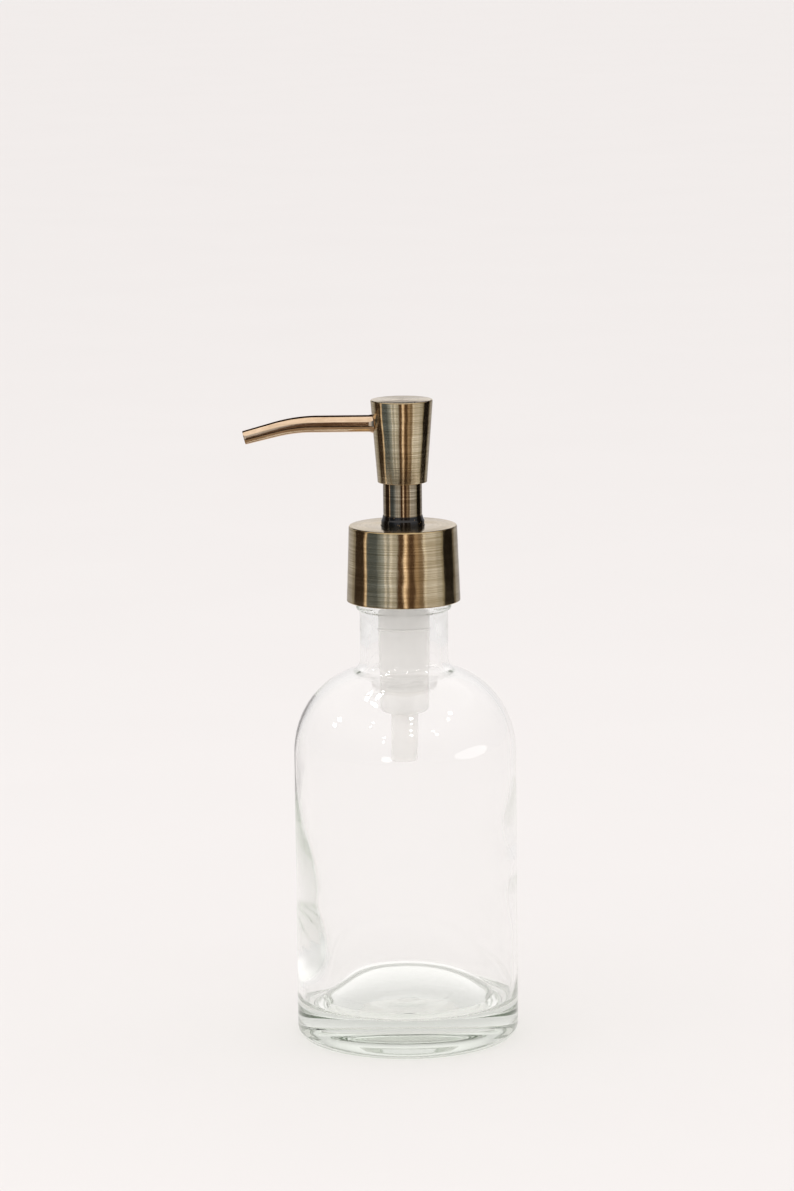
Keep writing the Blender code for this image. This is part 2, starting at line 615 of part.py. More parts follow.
def make_piston_rod():
    """Hollow stem, its top end opened out as the outlet ball's pocket."""
    pocket_floor = OUTLET_SEAT_Z + OUTLET_POCKET_R - ROD_BORE_R
    profile = [(ROD_R, ROD_TOP), (ROD_R, SEAL_Z), (ROD_BORE_R, SEAL_Z), (ROD_BORE_R, OUTLET_SEAT_Z)]
    profile += [(OUTLET_POCKET_R, pocket_floor), (OUTLET_POCKET_R, ROD_TOP)]
    return turned("piston_rod", profile, white_plastic, SMALL_SIDES)


def make_piston_plug():
    """Hollow end piece pressed into the rod: it holds the seal and rests on the spring."""
    shank_r = ROD_BORE_R - REST_GAP
    profile = [(shank_r, PLUG_TOP + PLUG_SHANK), (shank_r, PLUG_TOP), (PLUG_FLANGE_R, PLUG_TOP)]
    profile += [(PLUG_FLANGE_R, PLUG_Z), (PLUG_BORE_R, PLUG_Z), (PLUG_BORE_R, PLUG_TOP + PLUG_SHANK)]
    return turned("piston_plug", profile, white_plastic, SMALL_SIDES)


# ---------------------------------------------------------------- head


def head_radius(z):
    """Outer radius of the head at a height."""
    return HEAD_BOTTOM_R + HEAD_FLARE * (z - HEAD_BOTTOM) / (HEAD_TOP - HEAD_BOTTOM)


def make_head_shell():
    """Flared brass tube, wider at the top, with a hole for the spout."""
    profile = [(HEAD_TOP_R, HEAD_TOP), (HEAD_BOTTOM_R, HEAD_BOTTOM)]
    profile += [(HEAD_BOTTOM_R - HEAD_WALL, HEAD_BOTTOM), (HEAD_TOP_R - HEAD_WALL, HEAD_TOP)]
    obj = turned("head_shell", profile, brass, HEAD_SIDES)
    hole = rod("hole", SPOUT_R + REST_GAP, (-HEAD_TOP_R * 2, 0, SPOUT_Z), (-MM, 0, SPOUT_Z), SMALL_SIDES)
    return combined(obj, hole, "DIFFERENCE")


def make_head_cap():
    """Disc that closes the head's wide end."""
    top = HEAD_TOP - CAP_SET
    low = top - CAP_THICK
    profile = [(0, top), (head_radius(top) - HEAD_WALL - REST_GAP, top)]
    profile += [(head_radius(low) - HEAD_WALL - REST_GAP, low), (0, low)]
    return turned("head_cap", profile, brass, HEAD_SIDES)


def make_head_core():
    """Moulded core in the head: a socket for the rod, a passage and a socket for the spout."""
    inset = HEAD_WALL + REST_GAP
    profile = [(0, CORE_TOP), (head_radius(CORE_TOP) - inset, CORE_TOP)]
    profile += [(head_radius(CORE_Z) - inset, CORE_Z), (CORE_BOSS_R, CORE_Z)]
    profile += [(CORE_BOSS_R, CORE_Z - CORE_BOSS), (GUIDE_BORE_R, CORE_Z - CORE_BOSS)]
    profile += [(GUIDE_BORE_R, CORE_SOCKET_TOP), (0, CORE_SOCKET_TOP)]
    obj = turned("head_core", profile, white_plastic, SMALL_SIDES)
    rise = rod("rise", PASSAGE_R, (0, 0, CORE_SOCKET_TOP - MM), (0, 0, SPOUT_Z), 16)
    combined(obj, rise, "DIFFERENCE")
    # The cross slots let soap pass the lifted ball.
    for angle in (0, math.pi / 2):
        depth = SPOUT_Z - CORE_SOCKET_TOP
        slot = block("slot", (SLOT_LENGTH, SLOT_WIDTH, 2 * depth), (0, 0, CORE_SOCKET_TOP), angle)
        combined(obj, slot, "DIFFERENCE")
    inner_end = SPOUT_INNER_END - REST_GAP
    passage = rod("passage", CROSS_PASSAGE_R, (0, 0, SPOUT_Z), (-inner_end - MM, 0, SPOUT_Z), 16)
    combined(obj, passage, "DIFFERENCE")
    socket = rod("socket", SPOUT_R + REST_GAP, (-inner_end, 0, SPOUT_Z), (-HEAD_TOP_R * 2, 0, SPOUT_Z))
    return combined(obj, socket, "DIFFERENCE")


def spout_path(extend=0.0):
    """Points along the spout's axis from the head to the tip: straight, a bend, straight again."""
    start = SPOUT_INNER_END - extend
    path = [(start, 0.0), (SPOUT_INNER_END + 4 * MM, 0.0), (SPOUT_INNER_END + 14 * MM, 0.0)]
    pieces = 5
    for i in range(pieces + 1):
        angle = SPOUT_BEND * i / pieces
        along, drop = math.sin(angle), 1 - math.cos(angle)
        path.append((SPOUT_BEND_START + SPOUT_BEND_R * along, SPOUT_BEND_R * drop))
    last = SPOUT_REACH + extend
    run = (last - path[-1][0]) / 2
    for _ in range(2):
        path.append((path[-1][0] + run, path[-1][1] + run * math.tan(SPOUT_BEND)))
    return [(-x, 0, SPOUT_Z - drop) for x, drop in path]


def spout_radii(path):
    """Outer radius at each point: even to the bend, then drawn down to the tip."""
    share = [max((-x - SPOUT_BEND_START) / (SPOUT_REACH - SPOUT_BEND_START), 0) for x, _, _ in path]
    return [SPOUT_R + (SPOUT_TIP_R - SPOUT_R) * s for s in share]


def make_spout_tube():
    """Bent brass tube."""
    path = spout_path()
    obj = tube("spout_tube", path, spout_radii(path), brass)
    longer = spout_path(2 * MM)
    return combined(obj, tube("bore", longer, [SPOUT_BORE_R] * len(longer)), "DIFFERENCE")


def make_spout_liner():
    """Plastic tube that carries the soap inside the brass one."""
    path = spout_path()
    obj = tube("spout_liner", path, [LINER_R] * len(path), soft_plastic)
    longer = spout_path(2 * MM)
    return combined(obj, tube("bore", longer, [LINER_BORE_R] * len(longer)), "DIFFERENCE")


# ---------------------------------------------------------------- the object

for old in list(bpy.data.objects):
    bpy.data.objects.remove(old)

parts = bpy.data.collections.new("soap_pump_dispenser")
tools = bpy.data.collections.new("cutters")
for collection in (parts, tools):
    bpy.context.scene.collection.children.link(collection)

glass = finish("glass", (0.86, 0.9, 0.88), 0.03, alpha=0.3)
brass = finish("brass", (0.34, 0.24, 0.13), 0.32, metallic=1.0)
dark_plastic = finish("dark_plastic", (0.02, 0.016, 0.012), 0.2)
milky_plastic = finish("milky_plastic", (0.85, 0.88, 0.88), 0.35, alpha=0.7)
white_plastic = finish("white_plastic", (0.85, 0.85, 0.83), 0.4)
soft_plastic = finish("soft_plastic", (0.82, 0.83, 0.8), 0.45)
rubber = finish("rubber", (0.6, 0.6, 0.58), 0.7)
steel = finish("steel", (0.55, 0.55, 0.56), 0.2, metallic=1.0)

make_bottle()
make_closure_shell()
make_closure_insert()
make_collar_bush()
make_pump_housing()
ring("lip_gasket", CHAMBER_R + REST_GAP, FLANGE_R, GASKET_Z, GASKET_Z + GASKET_THICK, rubber)
make_ball_cage()
make_ball("inlet_ball", BALL_R, BALL_Z)
make_chaplet()
ring("guide_sleeve", SLEEVE_BORE_R, SLEEVE_R, SLEEVE_Z, SLEEVE_TOP, brass, HEAD_SIDES)
make_stem_wiper()
make_spring()
make_piston_seal()
make_piston_rod()
make_piston_plug()
make_ball("outlet_ball", OUTLET_BALL_R, OUTLET_BALL_Z)
make_head_core()
make_head_shell()
make_head_cap()
make_spout_tube()
make_spout_liner()
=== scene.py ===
"""A pump dispenser: a clear glass bottle with a screwed-on lotion pump in brushed aged brass."""

import math

import bmesh
import bpy
from mathutils import Matrix


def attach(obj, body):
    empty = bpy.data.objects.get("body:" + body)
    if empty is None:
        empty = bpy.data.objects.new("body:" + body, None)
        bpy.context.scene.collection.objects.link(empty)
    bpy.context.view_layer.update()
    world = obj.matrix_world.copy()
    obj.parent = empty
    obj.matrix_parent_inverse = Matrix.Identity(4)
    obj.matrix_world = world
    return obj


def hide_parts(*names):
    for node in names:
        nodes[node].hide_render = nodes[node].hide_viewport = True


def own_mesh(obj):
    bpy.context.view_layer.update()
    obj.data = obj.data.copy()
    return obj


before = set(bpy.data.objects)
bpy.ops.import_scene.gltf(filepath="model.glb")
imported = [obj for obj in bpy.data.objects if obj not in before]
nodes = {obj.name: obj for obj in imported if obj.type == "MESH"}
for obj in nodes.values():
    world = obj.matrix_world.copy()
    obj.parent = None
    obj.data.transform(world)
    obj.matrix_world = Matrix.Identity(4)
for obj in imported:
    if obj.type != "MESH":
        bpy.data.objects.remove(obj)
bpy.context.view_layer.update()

# ------------------------------------------------------------------ the set
# A pale seamless floor in even studio light. Boards and lamps stand round the
# table, out of sight, for the metal and the glass to mirror.


def linear(hex_colour):
    """An sRGB hex colour as linear red, green, blue and alpha."""
    parts = [int(hex_colour[i : i + 2], 16) / 255 for i in (0, 2, 4)]
    straight = [p / 12.92 if p <= 0.04045 else ((p + 0.055) / 1.055) ** 2.4 for p in parts]
    return (*straight, 1)


def new_tree(name):
    """An empty node material and its output node."""
    material = bpy.data.materials.new(name)
    material.use_nodes = True
    tree = material.node_tree
    tree.nodes.clear()
    return material, tree, tree.nodes.new("ShaderNodeOutputMaterial")


def add(tree, kind, inputs=(), **settings):
    """Adds a node with its settings. An input is a constant, or the socket that it links to."""
    node = tree.nodes.new(kind)
    for name, value in settings.items():
        setattr(node, name, value)
    for socket, value in dict(inputs).items():
        if isinstance(value, bpy.types.NodeSocket):
            tree.links.new(value, node.inputs[socket])
        else:
            node.inputs[socket].default_value = value
    return node


def stand(name, bm, material, smooth=None):
    """Makes the object of a finished bmesh, shaded smooth but for edges over so many degrees."""
    mesh = bpy.data.meshes.new(name)
    bm.to_mesh(mesh)
    bm.free()
    mesh.materials.append(material)
    if smooth is not None:
        mesh.shade_smooth()
        mesh.set_sharp_from_angle(angle=math.radians(smooth))
    obj = bpy.data.objects.new(name, mesh)
    bpy.context.scene.collection.objects.link(obj)
    return obj


FLOOR_R = 14.0

# Matt emulsion on board: even and pale, with the slightest mottle from the
# roller, in clouds of about 110 mm.
painted_board, tree, out = new_tree("painted_board")
place = add(tree, "ShaderNodeTexCoord").outputs["Object"]
mottle = add(tree, "ShaderNodeTexNoise", {"Vector": place, "Scale": 9.0, "Detail": 2.0})
tone = add(tree, "ShaderNodeMix",
           {0: mottle.outputs["Fac"], 6: linear("DCDAD9"), 7: linear("DEDCDB")}, data_type="RGBA")
paint = add(tree, "ShaderNodeBsdfPrincipled",
            {"Base Color": tone.outputs[2], "Roughness": 0.9, "Specular IOR Level": 0.1})
tree.links.new(paint.outputs["BSDF"], out.inputs["Surface"])
bm = bmesh.new()
bmesh.ops.create_circle(bm, cap_ends=True, segments=64, radius=FLOOR_R)
stand("floor", bm, painted_board)

# The room: white walls, and a ceiling that is brighter than they are. The two
# heights are sines of the angle above the table's level.
WALL_LIGHT, CEILING_LIGHT, WALL_END, CEILING_START = 0.86, 1.25, 0.1, 0.7
scene = bpy.context.scene
world = bpy.data.worlds.new("studio")
scene.world = world
world.use_nodes = True
room = world.node_tree
aim = add(room, "ShaderNodeTexCoord").outputs["Generated"]
sky = add(room, "ShaderNodeSeparateXYZ", {0: aim})
rise = add(room, "ShaderNodeMapRange",
           {"Value": sky.outputs["Z"], 1: WALL_END, 2: CEILING_START, 3: WALL_LIGHT,
            4: CEILING_LIGHT}, interpolation_type="SMOOTHSTEP")
room.nodes["Background"].inputs["Color"].default_value = linear("FFFCFB")
room.links.new(rise.outputs[0], room.nodes["Background"].inputs["Strength"])

# A weak overhead light through silk, for the shadow, and a soft one in front.
sun = bpy.data.objects.new("overhead_silk", bpy.data.lights.new("overhead_silk", "SUN"))
sun.data.energy = 0.12
sun.data.angle = math.radians(70)
sun.rotation_euler = (math.radians(-16), math.radians(12), 0)
fill = bpy.data.objects.new("front_silk", bpy.data.lights.new("front_silk", "AREA"))
fill.data.size = 1.8
fill.data.energy = 5.0
fill.location = (-0.35, -0.75, 1.7)
fill.visible_glossy = fill.visible_transmission = False
for light in (sun, fill):
    scene.collection.objects.link(light)


def hang(name, bm, colour, strength, in_glass, in_metal):
    """A lit board or lamp, and the shares of it that glass, as a sharp mirror, and metal show."""
    glow, tree, out = new_tree(name)
    lamp = add(tree, "ShaderNodeEmission", {"Color": linear(colour), "Strength": strength})
    path = add(tree, "ShaderNodeLightPath")
    share = add(tree, "ShaderNodeMapRange",
                {"Value": path.outputs["Is Singular Ray"], 3: in_metal, 4: in_glass})
    gap = add(tree, "ShaderNodeBsdfTransparent")
    shown = add(tree, "ShaderNodeMixShader",
                {0: share.outputs[0], 1: gap.outputs[0], 2: lamp.outputs[0]})
    tree.links.new(shown.outputs[0], out.inputs["Surface"])
    glow.cycles.emission_sampling = "NONE"
    board = stand(name, bm, glow)
    for kind in ("camera", "diffuse", "transmission", "volume_scatter", "shadow"):
        setattr(board, "visible_" + kind, False)


# The ring of boards: from and to in degrees round the table, 0 to the front
# and 90 to the right, then colour. Glass shows them faintly.
RING_R, RING_LOW, RING_HIGH, RING_STRENGTH, RING_IN_GLASS = 0.42, 0.002, 0.40, 1.5, 0.08
BEND_STEP = 2
BOARDS = [
    (-165, -127, "9A9A9C"), (-127, -117, "84827E"), (-117, -87, "30261E"), (-87, -84, "9C8C7C"),
    (-84, -80, "E2D2C2"), (-80, -54, "4C5660"), (-54, -47, "707A84"), (-47, -39, "8A94A0"),
    (-39, -35, "D0D4DE"), (-35, -28, "90959B"), (-28, -23, "D0D4DE"), (-23, -12, "A8ABB0"),
    (-12, 1, "4E3C2E"), (1, 7, "FFECDC"), (7, 11, "8A7460"), (11, 23, "4E3C2E"),
    (23, 31, "9C8A78"), (31, 42, "7E7062"), (42, 48, "D6D6DA"), (48, 72, "BCBEC4"),
    (72, 84, "A6A8AC"), (84, 90, "8C8A82"), (90, 124, "171310"), (124, 132, "6C6862"),
    (132, 165, "96979C"),
]
for number, (start, end, colour) in enumerate(BOARDS):
    bm = bmesh.new()
    angle = math.radians(start - 90)
    foot, head = (bm.verts.new((RING_R * math.cos(angle), RING_R * math.sin(angle), z))
                  for z in (RING_LOW, RING_HIGH))
    bmesh.ops.spin(bm, geom=[bm.edges.new((foot, head))], cent=(0, 0, 0), axis=(0, 0, 1),
                   angle=math.radians(end - start),
                   steps=max(1, round((end - start) / BEND_STEP)))
    hang(f"board_{number}", bm, colour, RING_STRENGTH, RING_IN_GLASS, 1.0)

# Flags for the spout to mirror: a dark one upright behind the bottle, a dark
# strip on the table in front, and a grey sheet under the spout.
for name, colour, size, place, tilt in (
    ("back_flag", "24100B", (1.3, 0.80), (0, 0.30, 0.68), 90),
    ("far_flag", "1C140E", (0.7, 0.17), (0, -0.325, 0.004), 0),
    ("near_flag", "A0907E", (0.7, 0.36), (0, -0.06, 0.003), 0),
):
    bm = bmesh.new()
    bmesh.ops.create_grid(bm, x_segments=1, y_segments=1, size=0.5)
    stance = Matrix.Translation(place) @ Matrix.Rotation(math.radians(tilt), 4, "X")
    bmesh.ops.transform(bm, matrix=stance @ Matrix.Diagonal((*size, 1, 1)), verts=bm.verts)
    hang(name, bm, colour, 1.0, 0.0, 1.0)

# Small bare lamps, seen only as glints: bearing, height, width and height
# across in degrees, and strength.
LAMP_R, LAMP_CENTRE = 1.2, 0.11
LAMPS = [
    (-121, 71, 18, 4, 20), (-119, 63, 18, 4, 20), (-80, 66, 12, 4, 20), (-92, 34, 6, 4, 20),
    (-92, 27, 6, 4, 20), (-46, 47, 3, 3, 20), (-46, 41, 3, 3, 20), (-24, 31, 3, 3, 20),
    (-24, 25, 3, 3, 20), (10, 57, 3, 4, 20), (9, 50, 3, 3, 20), (7, 41, 3, 3, 20),
    (7, 35, 3, 3, 20), (75, 50, 5, 4, 20), (64, 45, 3, 3, 20), (35, 37, 3, 3, 20),
    (38, 32, 3, 3, 20), (72, 3, 42, 11, 3.2), (-19, 4, 12, 8, 4.5),
]
for number, (bearing, height, wide, tall, strength) in enumerate(LAMPS):
    bm = bmesh.new()
    bmesh.ops.create_circle(bm, cap_ends=True, segments=24, radius=1.0)
    size = [LAMP_R * math.tan(math.radians(s / 2)) for s in (wide, tall)]
    turn = (Matrix.Rotation(math.radians(bearing), 4, "Z")
            @ Matrix.Rotation(math.radians(90 - height), 4, "X"))
    aim = (Matrix.Translation((0, 0, LAMP_CENTRE)) @ turn
           @ Matrix.Translation((0, 0, LAMP_R)))
    bmesh.ops.transform(bm, matrix=aim @ Matrix.Diagonal((*size, 1, 1)), verts=bm.verts)
    hang(f"lamp_{number}", bm, "FFFFFF", strength, 1.0, 0.0)

# A long lens a metre and a half off, a little above the bottle and looking down.
EYE, LOOK_DOWN, LEAN = (-0.00208, -1.4753, 0.396), 9.77, -0.624
camera = bpy.data.objects.new("camera", bpy.data.cameras.new("camera"))
camera.data.lens = 143.58
camera.data.sensor_width = 36
camera.data.clip_start, camera.data.clip_end = 0.1, 60
camera.matrix_world = (Matrix.Translation(EYE)
                       @ Matrix.Rotation(math.radians(90 - LOOK_DOWN), 4, "X")
                       @ Matrix.Rotation(math.radians(LEAN), 4, "Z"))
scene.collection.objects.link(camera)
scene.camera = camera

# With fewer bounces the thick edges of the glass go black.
BOUNCES, CLEAR_BOUNCES, BRIGHTEST = 64, 24, 6.0
scene.view_settings.view_transform = "Standard"
scene.cycles.use_denoising = True
for kind in ("max", "transmission", "glossy"):
    setattr(scene.cycles, kind + "_bounces", BOUNCES)
scene.cycles.transparent_max_bounces = CLEAR_BOUNCES
scene.cycles.caustics_reflective = False
scene.cycles.caustics_refractive = True
scene.cycles.sample_clamp_indirect = BRIGHTEST

# ------------------------------------------------------------- glass bottle
# Blown soda-lime glass: a thick base, domed inside over a shallow push-up, a
# straight wall, a domed shoulder and a short neck with a bead and a thread. The
# inside is wavy, as blown glass is, so the wall is thicker low on the left.

MM = 0.001
BODY_R, BODY_WALL, HEEL_R = 35.2, 1.8, 3.8
FLOOR_Z, FLOOR_CORNER, WALL_FROM = 12.0, 2.0, 17
MOUND_R, MOUND_RISE, PUNT_R, PUNT_RISE, PUNT_EDGE = 27.6, 9.8, 27.5, 5.0, 0.4
FOOT_WIDTH, DOME_STEP, DOME_STEPS = 1.5, 7, 13
SHOULDER_Z, SHOULDER_IN, SHOULDER_RISE, SHOULDER_STEPS = 92.2, 9.1, 27.3, 24
NECK_R, BEAD_R, FINISH_R, BORE_R = 13.95, 15.1, 12.5, 9.6
NECK_FOOT, BEAD_Z, BEAD_TOP, LIP_Z = 119.2, 137.9, 140.2, 150.5
NECK_FLARE, BORE_FLARE = 3.8, 7.2
THREAD_PITCH, THREAD_STAND, THREAD_LOW, THREAD_TURNS = 4.233, 1.2, 143.2, 1.25
THREAD_HALF, THREAD_SLOPE, THREAD_FADE = 1.3, 0.7, 12
FINISH_LOW, FINISH_ROW, FINISH_ROWS = 141.2, 0.3, 28
OUTER_ROWS, INNER_ROWS, ROUNDING_STEPS = 24, 30, 5


def turned(profile, steps, on_axis=False):
    """A profile of (radius, z, rounding) in mm, its corners rounded in the flat, spun round Z."""
    bm = bmesh.new()
    corners = [bm.verts.new((r * MM, 0, z * MM)) for r, z, _ in profile]
    ends = corners[1:] if on_axis else corners[1:] + corners[:1]
    for a, b in zip(corners, ends):
        bm.edges.new((a, b))
    for corner, (_, _, rounding) in zip(corners, profile):
        if rounding:
            bmesh.ops.bevel(bm, geom=[corner], offset=rounding * MM, offset_type="OFFSET",
                            segments=ROUNDING_STEPS, profile=0.5, affect="VERTICES",
                            material=-1, clamp_overlap=False)
    bmesh.ops.spin(bm, geom=bm.verts[:] + bm.edges[:], cent=(0, 0, 0), axis=(0, 0, 1),
                   angle=2 * math.pi, steps=steps, use_merge=True)
    bmesh.ops.remove_doubles(bm, verts=bm.verts, dist=0.002 * MM)
    bmesh.ops.dissolve_degenerate(bm, edges=bm.edges, dist=0.001 * MM)
    bmesh.ops.recalc_face_normals(bm, faces=bm.faces)
    return bm


def swell(value, middle, spread):
    """A smooth bump of height 1."""
    return math.exp(-(((value - middle) / spread) ** 2))


# The outside: up from the middle of the push-up, out over the foot, up the wall
# and over the shoulder to the lip.
profile = []
for i in range(DOME_STEPS):
    angle = math.radians(90 - DOME_STEP * i)
    out_r = PUNT_R * math.cos(angle) if i else 0
    profile.append((out_r, PUNT_EDGE + PUNT_RISE * math.sin(angle), 0))
profile += [(PUNT_R + FOOT_WIDTH, 0, 0.8), (BODY_R, 0, HEEL_R)]
profile += [(BODY_R, HEEL_R + (SHOULDER_Z - HEEL_R) * i / OUTER_ROWS, 0)
            for i in range(2, OUTER_ROWS)]
reach = BODY_R - SHOULDER_IN
meet = math.acos((NECK_R + NECK_FLARE - SHOULDER_IN) / reach)
for i in range(SHOULDER_STEPS + 1):
    angle = meet * i / SHOULDER_STEPS
    profile.append((SHOULDER_IN + reach * math.cos(angle),
                    SHOULDER_Z + SHOULDER_RISE * math.sin(angle), 0))
profile += [(NECK_R, NECK_FOOT, 2.6), (NECK_R, BEAD_Z, 0.5), (BEAD_R, BEAD_Z, 0.9)]
profile += [(BEAD_R, BEAD_TOP, 0.9), (FINISH_R, BEAD_TOP, 0.4)]
profile += [(FINISH_R, FINISH_LOW + FINISH_ROW * i, 0) for i in range(FINISH_ROWS)]
profile += [(FINISH_R, LIP_Z, 0.8), (BORE_R, LIP_Z, 0.8)]

# The inside: down the bore, which widens to run out into the dome, down the
# wall, and over the floor's dome to its middle.
inner_r = BODY_R - BODY_WALL
inner_reach = inner_r - SHOULDER_IN
inner_rise = SHOULDER_RISE - BODY_WALL
inner_meet = math.acos((BORE_R + BORE_FLARE - SHOULDER_IN) / inner_reach)
profile += [(BORE_R, 136, 0), (11.2, 129, 3), (11.6, 124, 0)]
profile += [(11.7, SHOULDER_Z + inner_rise + 0.2, 3.6)]
for i in range(SHOULDER_STEPS + 1):
    angle = inner_meet * (1 - i / SHOULDER_STEPS)
    profile.append((SHOULDER_IN + inner_reach * math.cos(angle),
                    SHOULDER_Z + inner_rise * math.sin(angle), 0))
profile += [(inner_r, SHOULDER_Z - (SHOULDER_Z - WALL_FROM) * i / INNER_ROWS, 0)
            for i in range(1, INNER_ROWS)]
profile += [(inner_r, FLOOR_Z, FLOOR_CORNER)]
for i in range(1, DOME_STEPS + 1):
    angle = math.radians(DOME_STEP * i)
    out_r = MOUND_R * math.cos(angle) if i < DOME_STEPS else 0
    profile.append((out_r, FLOOR_Z + MOUND_RISE * math.sin(angle), 0))
bm = turned(profile, 160, on_axis=True)

# How much thicker the wall is, in mm, with the middle and spread of each swelling.
# The inside of the wall and dome also waves slowly all round, and ripples low on
# the left. The thread is raised on the finish, and fades in and out at its ends.
LEFT_SWELLS = ((3.0, 30, 9), (1.5, 50, 15), (-0.7, 84, 12))
RIGHT_SWELLS = ((0.9, 68, 8), (0.4, 42, 8), (-0.4, 55, 5))
WAVES_FROM, WAVES_TO = 14, 117
for vert in bm.verts:
    x, y, z = (c / MM for c in vert.co)
    r, turn = math.hypot(x, y), math.atan2(y, x)
    on_wall = inner_r - 1 < r < inner_r + 0.05 and WAVES_FROM < z < SHOULDER_Z
    in_dome = r > BORE_R + 6 and SHOULDER_Z <= z and math.hypot(
        (r - SHOULDER_IN) / inner_reach, (z - SHOULDER_Z) / inner_rise) < 1.02
    if on_wall or in_dome:
        left = max(0.0, -math.cos(turn - 0.15)) ** 5
        right = max(0.0, math.cos(turn)) ** 2
        fade = min(1, (z - WAVES_FROM) / 9) * min(1, (WAVES_TO - z) / 20)
        thick = 0.20 * math.sin(2 * turn + 0.7 + z / 31) + 0.10 * math.sin(5 * turn - z / 17)
        thick += left * sum(size * swell(z, at, spread) for size, at, spread in LEFT_SWELLS)
        thick += left * 0.16 * math.sin(z / 1.9) * swell(z, 36, 16)
        thick += right * sum(size * swell(z, at, spread) for size, at, spread in RIGHT_SWELLS)
        shrink = 1 - fade * thick / r
        vert.co.x *= shrink
        vert.co.y *= shrink
    elif abs(r - FINISH_R) < 0.05 and BEAD_TOP + 0.5 < z < LIP_Z - 0.9:
        along = (turn / (2 * math.pi)) % 1
        for lap in (0, 1):
            turned_by = along + lap
            if turned_by <= THREAD_TURNS:
                ends = min(1, turned_by * THREAD_FADE, (THREAD_TURNS - turned_by) * THREAD_FADE)
                off = abs(z - THREAD_LOW - THREAD_PITCH * turned_by)
                flank = max(0, min(1, (THREAD_HALF - off) / THREAD_SLOPE))
                grow = 1 + ends * THREAD_STAND * flank / r
                vert.co.x *= grow
                vert.co.y *= grow

# Flint glass, blown in a mould: clear, with the green of its iron only where
# it is seen edge on, and a skin that ripples by a few hundredths of a mm, in
# waves about 17 mm round and 45 mm up. Shadows and the floor's light pass it.
flint_glass, tree, out = new_tree("flint_glass")
place = add(tree, "ShaderNodeTexCoord").outputs["Object"]
stretch = add(tree, "ShaderNodeMapping", {"Vector": place, "Scale": (60, 60, 22)})
ripple = add(tree, "ShaderNodeTexNoise",
             {"Vector": stretch.outputs[0], "Scale": 1.0, "Detail": 1.0})
skin = add(tree, "ShaderNodeBump",
           {"Height": ripple.outputs["Fac"], "Strength": 0.12, "Distance": 0.0004})
clear = add(tree, "ShaderNodeBsdfPrincipled", {
    "Base Color": linear("FFFFFF"), "Roughness": 0.0, "IOR": 1.5, "Transmission Weight": 1.0,
    "Normal": skin.outputs["Normal"]})
through = add(tree, "ShaderNodeBsdfTransparent", {"Color": linear("FCFDFC")})
path = add(tree, "ShaderNodeLightPath")
unseen = add(tree, "ShaderNodeMath",
             {0: path.outputs["Is Shadow Ray"], 1: path.outputs["Is Diffuse Ray"]},
             operation="MAXIMUM")
either = add(tree, "ShaderNodeMixShader",
             {0: unseen.outputs[0], 1: clear.outputs["BSDF"], 2: through.outputs["BSDF"]})
iron = add(tree, "ShaderNodeVolumeAbsorption", {"Color": linear("BCC8B8"), "Density": 8.0})
tree.links.new(either.outputs[0], out.inputs["Surface"])
tree.links.new(iron.outputs[0], out.inputs["Volume"])

bottle = stand("bottle", bm, flint_glass, 35)
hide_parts("glass_bottle")
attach(bottle, "bottle")

# ------------------------------------------------------------- pump housing
# The cylinder that hangs in the neck, injection moulded in unfilled
# polypropylene, with a flange, a witness ring and a stub for the tube.

# Radius, height and rounding: the flange, down the outside, and up the bore.
profile = [
    (12.3, 153.5, 0.3), (12.3, 152.3, 0.3), (8.0, 152.3, 0.5), (8.0, 133.05, 0.1),
    (8.3, 132.85, 0.1), (8.3, 132.55, 0.1), (8.0, 132.35, 0.1), (8.0, 118.6, 0.1),
    (7.75, 118.2, 0.1), (7.75, 104.9, 1.6), (4.3, 104.9, 0.8), (4.3, 89.2, 0.35),
    (3.2, 89.2, 0.35), (3.2, 102.4, 0.2), (1.8, 102.4, 0.2), (1.8, 103.6, 0.1),
    (3.0, 104.8, 0.2), (3.0, 108.8, 0.2), (6.6, 111.32, 0.3), (6.6, 153.5, 0.3),
]

# Natural polypropylene: milky, so that light goes through and shapes don't,
# with flow marks about 4 mm apart.
milky_pp, tree, out = new_tree("milky_pp")
place = add(tree, "ShaderNodeTexCoord").outputs["Object"]
flow = add(tree, "ShaderNodeTexNoise", {"Vector": place, "Scale": 260.0, "Detail": 3.0})
tone = add(tree, "ShaderNodeMix",
           {0: flow.outputs["Fac"], 6: linear("F6F4F4"), 7: linear("FCFAF9")}, data_type="RGBA")
skin = add(tree, "ShaderNodeBump",
           {"Height": flow.outputs["Fac"], "Strength": 0.15, "Distance": 0.0002})
moulded = add(tree, "ShaderNodeBsdfPrincipled", {
    "Base Color": tone.outputs[2], "Roughness": 0.22, "IOR": 1.49, "Transmission Weight": 0.45,
    "Normal": skin.outputs["Normal"]})
through = add(tree, "ShaderNodeBsdfTransparent", {"Color": linear("F4F2F1")})
path = add(tree, "ShaderNodeLightPath")
unseen = add(tree, "ShaderNodeMath",
             {0: path.outputs["Is Shadow Ray"], 1: path.outputs["Is Diffuse Ray"]},
             operation="MAXIMUM")
either = add(tree, "ShaderNodeMixShader",
             {0: unseen.outputs[0], 1: moulded.outputs["BSDF"], 2: through.outputs["BSDF"]})
tree.links.new(either.outputs[0], out.inputs["Surface"])
housing = stand("housing", turned(profile, 96), milky_pp, 35)
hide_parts("pump_housing")
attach(housing, "pump_body")

# ------------------------------------------------------------ return spring
# A compression spring of 0.7 mm stainless wire, its ends closed, that stands
# on the cage and lifts the piston.

SPRING_R, WIRE_R, COILS, COIL_STEPS = 4.8, 0.35, 7.5, 28
SPRING_LOW, SPRING_HIGH, STROKE = 113.22, 138.6, 11.5
CLOSED_RISE = 2.15 * WIRE_R

